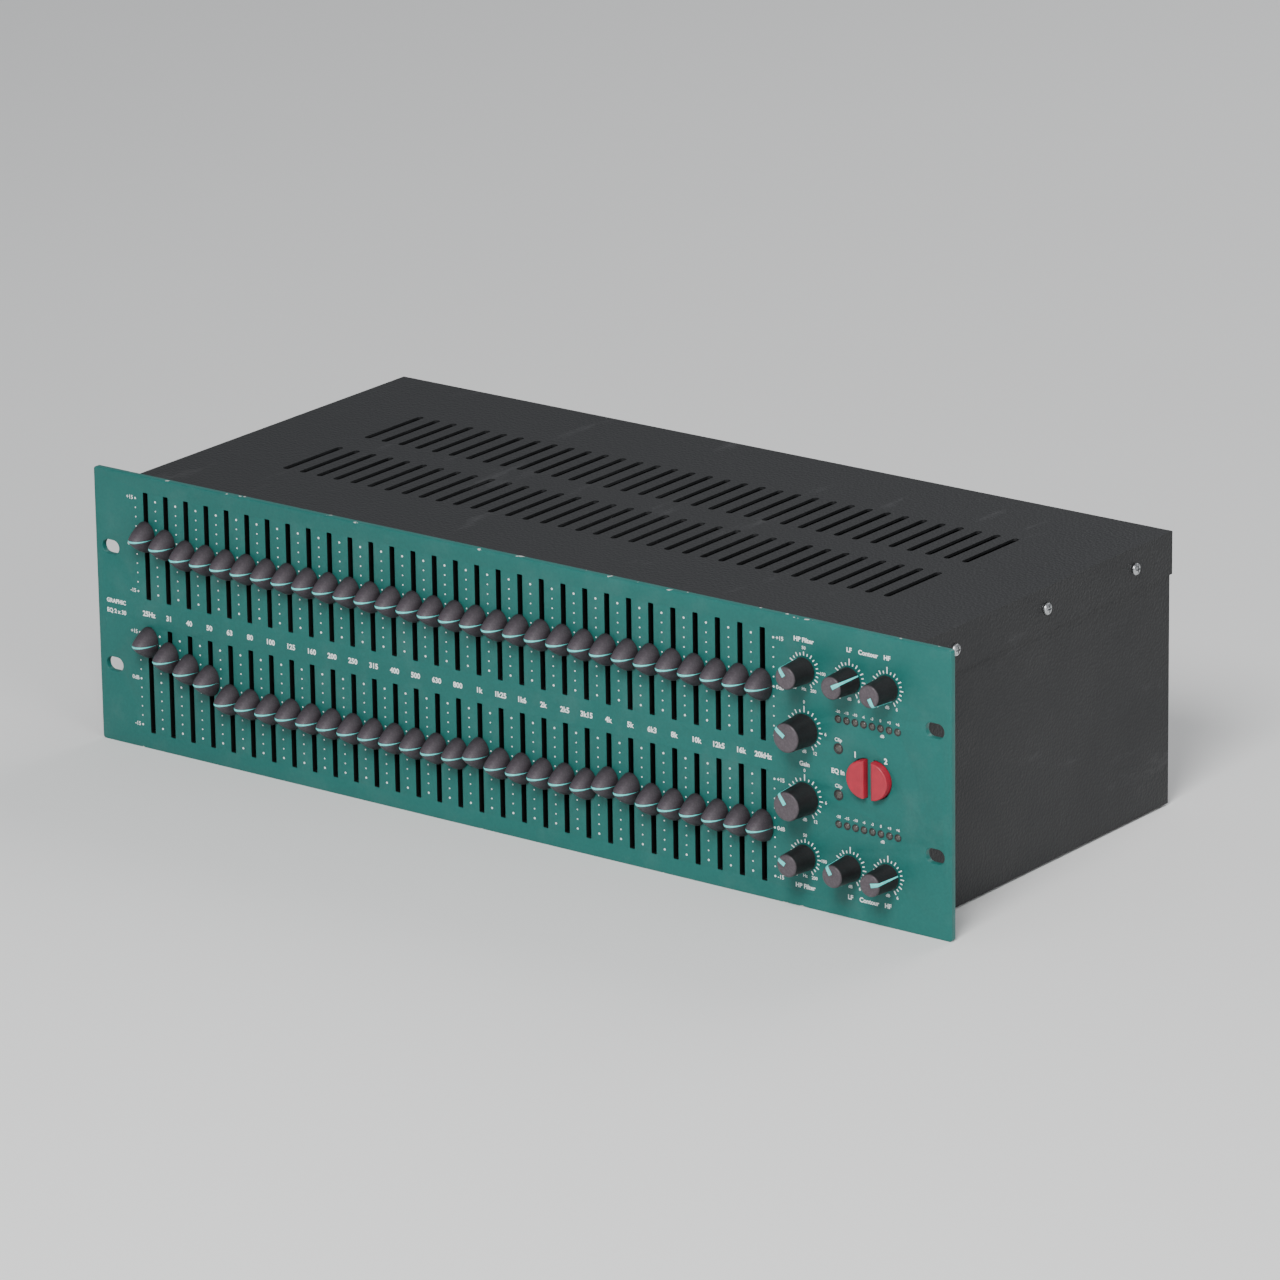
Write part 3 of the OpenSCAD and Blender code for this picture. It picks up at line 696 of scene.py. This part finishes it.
def make_function_words():
    shape = Shape()
    where = {k: joint_of(k)["pos_m"] for k in KNOBS}
    for side in ("upper", "lower"):
        sign = 1 if side == "upper" else -1
        hp, lf, hf = (where[f"{kind}_knob_{side}"][0] for kind in ("highpass", "lf", "hf"))
        for text, at in (("HP Filter", hp), ("LF", lf), ("Contour", (lf + hf) / 2), ("HF", hf)):
            shape.add(*words(text, at, sign * KNOB_WORD_Z, WORD_H, bold=BOLD))
        for i, text in enumerate(LEVELS):
            shape.add(*words(text, LED_X + i * LED_PITCH, sign * LED_Z + 3.5 * MM, 1.3 * MM))
        shape.add(*words("dB", LED_X + 5.2 * LED_PITCH, sign * LED_Z - 3.4 * MM, 1.4 * MM))
        shape.add(*words("Clip", CLIP_X, sign * CLIP_Z + 4.0 * MM, 1.7 * MM))
    shape.add(*words("Gain", where["gain_knob_upper"][0], 0, WORD_H, bold=BOLD))
    shape.add(*words("EQ in", CLIP_X - 0.3 * MM, 0, 2.2 * MM, bold=BOLD))
    for text, side in (("1", -1), ("2", 1)):
        shape.add(*words(text, BUTTON_X + side * 8.1 * MM, BUTTON_R + 0.9 * MM, 2.6 * MM, bold=BOLD))
    for text, side in (("GRAPHIC", 1), ("EQ 2 x 30", -1)):
        shape.add(*words(text, -PANEL_HALF_W + 11 * MM, side * 2.4 * MM, 2.0 * MM, bold=BOLD))
    piece("function_words", shape.mesh("function_words"), "root", "legend_white")


# ---------------------------------------------------------------- faders

CAP_FOOT_RIM = 0.5 * MM
RIDGE_HALF = 0.58 * MM
RIDGE_BELOW_LINE = 0.15 * MM
LINE_ROUND = 0.28 * MM
LINE_DEPTH = 0.7 * MM


def arch(u, reach):
    """A point of the cap's ridge, from the left end (u = 0) over the top to the right end (u = pi)."""
    return -CAP_W / 2 * math.cos(u), reach * math.sin(u)


def above_rim(reach):
    """Y of a point that stands out by reach, squeezed to leave room for the cap's straight foot rim."""
    return -CAP_FOOT_RIM - reach * (CAP_REACH - CAP_FOOT_RIM) / CAP_REACH


def cap_mesh():
    """A clam-shaped cap: two faces fall from an arched ridge to an oval foot."""
    along, across, power = 36, 12, 1.22
    shape = Shape()
    for side in (-1, 1):
        rows = []
        for i in range(along + 1):
            u = math.pi * i / along
            x, reach = arch(u, CAP_REACH - RIDGE_BELOW_LINE)
            foot = (CAP_H / 2 - RIDGE_HALF) * math.sin(u)
            row = []
            for k in range(across + 1):
                t = math.pi / 2 * k / across
                out = reach * math.cos(t) ** (2 / power)
                down = foot * math.sin(t) ** (2 / power)
                row.append(Vector((x, above_rim(out), side * (RIDGE_HALF + down))))
            row.append(row[-1] + Vector((0, CAP_FOOT_RIM, 0)))
            rows.append(row)
        shape.rings(rows, closed=False, caps=(False, False))
    ridge = []
    foot_line = []
    for i in range(along + 1):
        u = math.pi * i / along
        x, reach = arch(u, CAP_REACH - RIDGE_BELOW_LINE)
        y = above_rim(reach)
        ridge.append([Vector((x, y, -RIDGE_HALF)), Vector((x, y, RIDGE_HALF))])
        foot = RIDGE_HALF + (CAP_H / 2 - RIDGE_HALF) * math.sin(u)
        foot_line.append([Vector((x, 0, -foot)), Vector((x, 0, foot))])
    shape.rings(ridge, closed=False, caps=(False, False))
    shape.rings(foot_line, closed=False, caps=(False, False))
    for end in (0, -1):
        x, rim = ridge[end][0].x, -CAP_FOOT_RIM
        shape.add([(x, rim, -RIDGE_HALF), (x, rim, RIDGE_HALF), (x, 0, RIDGE_HALF), (x, 0, -RIDGE_HALF)],
                  [(0, 1, 2, 3)])
    return shape.mesh("fader_cap", 40)


def cap_line_mesh():
    """The pale line: a rounded band laid along the whole ridge."""
    along, steps = 48, 6
    rings = []
    for i in range(along + 1):
        u = math.pi * i / along
        x, reach = arch(u, CAP_REACH)
        out = Vector((-math.cos(u) * CAP_REACH, -math.sin(u) * CAP_W / 2, 0)).normalized()
        base = Vector((x, above_rim(reach), 0))
        ring = []
        for k in range(steps + 1):
            a = math.pi * k / steps
            across = Vector((0, 0, RIDGE_HALF * math.cos(a)))
            ring.append(base + out * (LINE_ROUND * math.sin(a) - LINE_ROUND) + across)
        ring.append(base - out * LINE_DEPTH + Vector((0, 0, -RIDGE_HALF * 0.9)))
        ring.append(base - out * LINE_DEPTH + Vector((0, 0, RIDGE_HALF * 0.9)))
        rings.append(ring)
    return Shape().rings(rings).mesh("fader_cap_line", 60)


def lever_mesh():
    """The metal blade through the slot, and the wiper carriage that it stands on."""
    back = CARRIAGE_BACK - CAP_FOOT
    shape = Shape()
    shape.box((-0.6 * MM, -5.9 * MM, -2 * MM), (0.6 * MM, back, 2 * MM), 0.15 * MM)
    shape.box((-3.1 * MM, back - 5 * MM, -4 * MM), (3.1 * MM, back, 4 * MM), 0.3 * MM)
    return shape.mesh("fader_lever")


def fader_places(band):
    """Where the band's lower and upper faders are at rest: the CAD's two caps, one end each of its box."""
    low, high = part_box(band)
    return (("upper", high.z - CAP_H / 2), ("lower", low.z + CAP_H / 2))


def make_faders():
    cap, line, lever = cap_mesh(), cap_line_mesh(), lever_mesh()
    for band, x in zip(BANDS, BAND_X):
        short = band.removeprefix("fader_")
        for row, z in fader_places(band):
            at = (x, CAP_FOOT, z)
            piece(f"cap_{short}_{row}", cap, band, "cap_plastic", at, replaces=[band])
            piece(f"cap_line_{short}_{row}", line, band, "pointer_cyan", at)
            piece(f"lever_{short}_{row}", lever, band, "zinc_steel", at)


# ---------------------------------------------------------------- knobs

KNOB_TAPER = 0.8 * MM


def knob_profile(radius, reach):
    """The knob's outside as (radius, reach), from its foot to the middle of its face."""
    face = radius - KNOB_TAPER
    rim = 1.0 * MM
    points = [(radius - 0.25 * MM, 0), (radius, 0.25 * MM), (radius, 1.0 * MM),
              (radius - 0.15 * MM, 1.3 * MM), (face, reach - rim)]
    for i in range(1, 5):
        a = math.pi / 2 * i / 4
        points.append((face - rim * (1 - math.cos(a)), reach - rim + 0.92 * rim * math.sin(a)))
    points += [(face - rim - 0.25 * MM, reach - 0.02 * MM), (face - rim - 0.6 * MM, reach),
               (face - rim - 1.0 * MM, reach - 0.03 * MM), (AXIS_R, reach - 0.12 * MM)]
    return points


def knob_mesh(name, radius, reach):
    profile = [(SHAFT_R + 0.02 * MM, 10 * MM), (SHAFT_R + 0.02 * MM, 0)] + knob_profile(radius, reach)
    return Shape().lathe(profile, 96).mesh(name, 30)


def pointer_mesh(name, radius, reach):
    """A wedge on the face that runs over the rim and down the side as a thinner line."""
    face = radius - KNOB_TAPER
    path = [(0.9 * MM, reach - 0.1 * MM, 1.0), (face - 2.0 * MM, reach, 0.92),
            (face - 1.0 * MM, reach - 0.08 * MM, 0.84), (face - 0.3 * MM, reach - 0.30 * MM, 0.76),
            (face, reach - 1.0 * MM, 0.66), (radius - 0.15 * MM, 1.3 * MM, 0.34),
            (radius, 0.9 * MM, 0.32), (radius, 0.3 * MM, 0.32)]
    points = [Vector((0, -out, r)) for r, out, _ in path]
    rings = []
    for i, (point, (_, _, half)) in enumerate(zip(points, path)):
        before, after = points[max(i - 1, 0)], points[min(i + 1, len(points) - 1)]
        run = (after - before).normalized()
        normal = Vector((0, -run.z, run.y)) if i else Vector((0, -1, 0))
        if normal.dot(Vector((0, -1, 1))) < 0:
            normal = -normal
        w = half * MM
        top, low = normal * 0.10 * MM, -normal * 0.25 * MM
        rings.append([point + low + Vector((-w, 0, 0)), point + top * 0.4 + Vector((-w, 0, 0)),
                      point + top + Vector((-w * 0.7, 0, 0)), point + top + Vector((w * 0.7, 0, 0)),
                      point + top * 0.4 + Vector((w, 0, 0)), point + low + Vector((w, 0, 0))])
    return Shape().rings(rings).mesh(name, 50)


def shaft_mesh(back):
    profile = [(AXIS_R, 9.95 * MM), (SHAFT_R - 0.3 * MM, 9.95 * MM), (SHAFT_R, 9.6 * MM),
               (SHAFT_R, -back), (AXIS_R, -back)]
    return Shape().lathe(profile, 32).mesh("knob_shaft")


def make_knobs():
    shaft = shaft_mesh(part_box(KNOBS[0])[1].y - KNOB_FOOT)
    kinds = {}
    for knob in KNOBS:
        low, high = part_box(knob)
        radius, reach = (high.x - low.x) / 2, KNOB_FOOT - low.y - 0.1 * MM
        kind = "gain" if knob.startswith("gain") else "filter"
        if kind not in kinds:
            kinds[kind] = (knob_mesh(f"{kind}_knob", radius, reach),
                           pointer_mesh(f"{kind}_pointer", radius, reach))
        body_mesh, pointer = kinds[kind]
        joint = joint_of(knob)
        at = (joint["pos_m"][0], KNOB_FOOT, joint["pos_m"][2])
        # the joint runs 150 degrees each way from the top, so its range says where the pointer rests
        rest = -150 - joint["range_deg"][0]
        for name, mesh, slot in (("body", body_mesh, "knob_plastic"), ("pointer", pointer, "pointer_cyan")):
            obj = piece(f"{knob}_{name}", mesh, knob, slot, at, replaces=[knob] if name == "body" else ())
            obj.rotation_euler = (0, math.radians(rest), 0)
        piece(f"{knob}_shaft", shaft, knob, "zinc_steel", at)


# ---------------------------------------------------------------- bypass buttons

# From the face backwards, in millimetres: how far back, how far in from the round edge and from the
# straight edge. The straight edge has a wide chamfer, and the round edge a small rounding.
BUTTON_EDGE = ((0, 0.80, 1.15), (0.04, 0.52, 0.98), (0.18, 0.22, 0.82), (0.42, 0.05, 0.58),
               (0.70, 0, 0.30), (0.92, 0, 0.10), (1.08, 0, 0.02), (1.2, 0, 0))


def make_buttons():
    for body, side in zip(BUTTONS, (-1, 1)):
        low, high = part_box(body)
        shape = Shape()
        front, back = low.y, BUTTON_BACK
        rings = []
        for y, off_round, off_straight in BUTTON_EDGE + (((back - front) / MM, 0, 0),):
            outline = half_disc(
                BUTTON_X, 0, side, BUTTON_R - off_round * MM,
                BUTTON_HALF_GAP + off_straight * MM, BUTTON_SHIFT)
            rings.append([Vector((x, front + y * MM, z)) for x, z in outline(0)])
        shape.rings(rings)
        px = BUTTON_X + side * PLUNGER_X
        half = PLUNGER_HALF
        shape.box((px - half, back, -half), (px + half, high.y, half), 0.2 * MM)
        piece(f"{body}_cap", shape.mesh(f"{body}_cap", 30), body, "button_red", replaces=[body])


# ---------------------------------------------------------------- lights

def lens_mesh(name, radius, stand):
    profile = [(AXIS_R, -5 * MM), (radius, -5 * MM)]
    profile += [(radius * math.cos(a), stand - radius * 0.6 * (1 - math.sin(a)))
                for a in (math.pi / 2 * i / 8 for i in range(8))]
    profile.append((AXIS_R, stand))
    return Shape().lathe(profile, 32).mesh(name)


def bezel_mesh(name, inner, outer):
    """A thin black collar that lines the panel's hole."""
    edge, stand = 0.08 * MM, 0.18 * MM
    profile = [(inner, -2 * MM), (inner, 0.1 * MM), (inner + edge, stand), (outer - edge, stand),
               (outer, 0.1 * MM), (outer, -0.02 * MM)]
    return Shape().lathe(profile, 32).mesh(name)


def make_lights():
    stand = FRONT - LED_FRONT - 0.1 * MM
    level = lens_mesh("level_lens", LED_R - 0.15 * MM, stand)
    clip = lens_mesh("clip_lens", CLIP_R - 0.2 * MM, stand)
    level_bezel = bezel_mesh("level_bezel", LED_R - 0.1 * MM, LED_R + 0.32 * MM)
    clip_bezel = bezel_mesh("clip_bezel", CLIP_R - 0.15 * MM, CLIP_R + 0.4 * MM)
    for side, row in ((1, "upper"), (-1, "lower")):
        for i in range(LED_COUNT):
            at = (LED_X + i * LED_PITCH, FRONT, side * LED_Z)
            piece(f"level_lens_{row}_{i + 1}", level, "root", "led_lens", at)
            piece(f"level_bezel_{row}_{i + 1}", level_bezel, "root", "connector_black", at)
        at = (CLIP_X, FRONT, side * CLIP_Z)
        piece(f"clip_lens_{row}", clip, "root", "led_lens", at)
        piece(f"clip_bezel_{row}", clip_bezel, "root", "connector_black", at)


# ---------------------------------------------------------------- rear

SOCKET_Z = mid("xlr_inputs").z
XLR_HALF_FLANGE = 13 * MM
SOCKET_DEPTH = 14 * MM
PIN_CIRCLE = 4.5 * MM
PIN_TURNS = (90, 210, 330)
MAINS_PIN_HALF = (1.04 * MM, 2.04 * MM)
MAINS_PINS = ((-7, 2), (0, -2.5), (7, 2))


def xlr_places(node):
    low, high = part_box(node)
    return low.x + XLR_HALF_FLANGE, high.x - XLR_HALF_FLANGE


def make_rear_words():
    shape = Shape()
    labels = [("POWER", mid("power_switch_frame").x), ("FUSE", mid("fuse_holder").x),
              ("MAINS", mid("mains_inlet").x)]
    for node, word in (("xlr_inputs", "INPUT"), ("xlr_outputs", "OUTPUT")):
        labels += [(f"{word} {i}", x) for i, x in enumerate(xlr_places(node), 1)]
    for text, x in labels:
        shape.add(*words(text, x, SOCKET_Z + 22 * MM, 3.0 * MM, bold=0.04, rear=True))
    piece("rear_words", shape.mesh("rear_words"), "root", "legend_white")


def make_rear_pins():
    """Plated sleeves over the pins of the sockets, with rounded tips."""
    reach, radius = 13 * MM, 1.24 * MM
    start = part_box("rear_panel")[1].y - SOCKET_DEPTH
    profile = [(radius, 0), (radius, reach - 0.9 * MM), (radius * 0.8, reach - 0.35 * MM),
               (radius * 0.4, reach), (AXIS_R, reach + 0.05 * MM)]
    pin = Shape().lathe(profile, 24, sign=1).mesh("signal_pin")
    for i, x in enumerate(xlr_places("xlr_outputs"), 1):
        for k, turn in enumerate(PIN_TURNS, 1):
            a = math.radians(turn)
            at = (x + PIN_CIRCLE * math.sin(a), start, SOCKET_Z + PIN_CIRCLE * math.cos(a))
            piece(f"output_{i}_pin_{k}", pin, "root", "connector_pins", at)
    w, h = MAINS_PIN_HALF
    blade = Shape().box((-w, 0, -h), (w, 13.1 * MM, h), 0.45 * MM).mesh("mains_pin")
    inlet = mid("mains_inlet").x
    for k, (dx, dz) in enumerate(MAINS_PINS, 1):
        piece(f"mains_pin_{k}", blade, "root", "zinc_steel",
              (inlet + dx * MM, start - 2 * MM, SOCKET_Z + dz * MM), material="connector_nickel")


def make_latches():
    """The sprung tab above each input socket, which holds the plug."""
    shape = Shape().box((-3 * MM, -1.2 * MM, 10.4 * MM), (3 * MM, 1.4 * MM, 14.4 * MM), 0.5 * MM)
    shape.box((-1.6 * MM, 1.2 * MM, 12.8 * MM), (1.6 * MM, 2.0 * MM, 13.8 * MM), 0.3 * MM)
    tab = shape.mesh("socket_latch")
    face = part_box("xlr_inputs")[1].y
    for i, x in enumerate(xlr_places("xlr_inputs"), 1):
        piece(f"input_{i}_latch", tab, "root", "zinc_steel", (x, face, SOCKET_Z), material="connector_nickel")


def make_rocker_marks():
    """A bar and a ring for on and off, raised from the rocker's two faces."""
    pivot = joint_of("power_rocker")["pos_m"]
    tilt = math.radians(8)
    slope = math.atan2(1.4, 5)
    inner, outer, raised = 0.75 * MM, 1.25 * MM, 0.12 * MM
    for name, side in (("rocker_mark_on", 1), ("rocker_mark_off", -1)):
        shape = Shape()
        if side > 0:
            shape.box((-0.35 * MM, 0, -1.2 * MM), (0.35 * MM, raised, 1.2 * MM), 0.04 * MM)
        else:
            shape.lathe([(inner, 0), (inner, raised), (outer, raised), (outer, 0), (inner, 0)], 32, sign=1)
        seat = Matrix.Translation((0, 3.9 * MM, side * 2.5 * MM)) @ Matrix.Rotation(side * slope, 4, "X")
        shape.turned(Matrix.Rotation(-tilt, 4, "X") @ seat)
        piece(name, shape.mesh(name), "power_rocker", "legend_white", pivot)


# ---------------------------------------------------------------- the rest of the CAD nodes

def finish_node(node, slot, bevel=0.0):
    obj = frame["nodes"][node]
    obj.data.materials.clear()
    obj.data.materials.append(MATERIALS[slot])
    if bevel:
        rounding = obj.modifiers.new("rounding", "BEVEL")
        rounding.width = bevel
        rounding.segments = 2
        rounding.limit_method = "ANGLE"
        rounding.angle_limit = math.radians(40)


ROUNDING = {"top_cover": 0.5, "chassis_tray": 0.4, "rear_panel": 0.2, "xlr_inputs": 0.3, "xlr_outputs": 0.3,
            "mains_inlet": 0.3, "fuse_holder": 0.4, "power_switch_frame": 0.25, "power_rocker": 0.3}


def finish_cad_nodes():
    slots = {s["node"]: s["material_slot"] for s in frame["record"]["subparts"]}
    # black behind the slots: the sub panel is painted black as painted shade, and the slide pot bodies are
    # black partly as their own moulding and partly as painted shade
    slots |= {"slide_pot_bodies": "connector_black", "sub_panel": "connector_black"}
    for node, obj in frame["nodes"].items():
        if not obj.hide_render:
            finish_node(node, slots[node], ROUNDING.get(node, 0) * MM)


# ---------------------------------------------------------------- stage

def make_floor():
    size, below = 6.0, PANEL_LOW.z
    mesh = bpy.data.meshes.new("floor")
    mesh.from_pydata([(-size, -size, below), (size, -size, below), (size, size, below), (-size, size, below)],
                     [], [(0, 1, 2, 3)])
    mesh.materials.append(floor_paper())
    floor = bpy.data.objects.new("floor", mesh)
    bpy.context.scene.collection.objects.link(floor)


def area_light(name, at, aim, size, power):
    light = bpy.data.lights.new(name, "AREA")
    light.shape = "DISK"
    light.size = size
    light.energy = power
    obj = bpy.data.objects.new(name, light)
    bpy.context.scene.collection.objects.link(obj)
    obj.location = at
    obj.rotation_euler = (Vector(aim) - Vector(at)).to_track_quat("-Z", "Y").to_euler()


def make_lights_and_world():
    area_light("key", (0.7, -1.5, 1.6), (0.1, 0, 0), 0.9, 50)
    area_light("side", (2.2, -0.9, 1.0), (0, 0, 0), 1.2, 16)
    area_light("back", (0.2, 2.2, 1.8), (0, 0.1, 0), 1.6, 22)
    world = bpy.data.worlds.new("studio")
    world.use_nodes = True
    world.node_tree.nodes["Background"].inputs["Color"].default_value = (0.92, 0.95, 1.0, 1)
    world.node_tree.nodes["Background"].inputs["Strength"].default_value = 0.34
    bpy.context.scene.world = world


STAND = (2.038, -2.578, 1.098)
LENS = 218
ROLL = -0.85  # degrees; the photograph is tilted by this much


def make_camera():
    """Stands where the photograph was taken from, and looks at the middle of the object."""
    camera = bpy.data.cameras.new("camera")
    camera.sensor_width = 36
    camera.lens = LENS
    camera.clip_start, camera.clip_end = 0.1, 50
    obj = bpy.data.objects.new("camera", camera)
    bpy.context.scene.collection.objects.link(obj)
    middle = (cad_box[0] + cad_box[1]) / 2
    obj.location = STAND
    aim = (middle - obj.location).to_track_quat("-Z", "Y")
    obj.rotation_euler = (aim @ Quaternion((0, 0, 1), math.radians(ROLL))).to_euler()
    bpy.context.scene.camera = obj


make_camera()
make_floor()
make_lights_and_world()
make_front_panel()
make_fader_scales()
make_band_numbers()
make_knob_scales()
make_function_words()
make_faders()
make_knobs()
make_buttons()
make_lights()
make_rear_words()
make_rear_pins()
make_latches()
make_rocker_marks()
finish_cad_nodes()

bpy.context.view_layer.update()
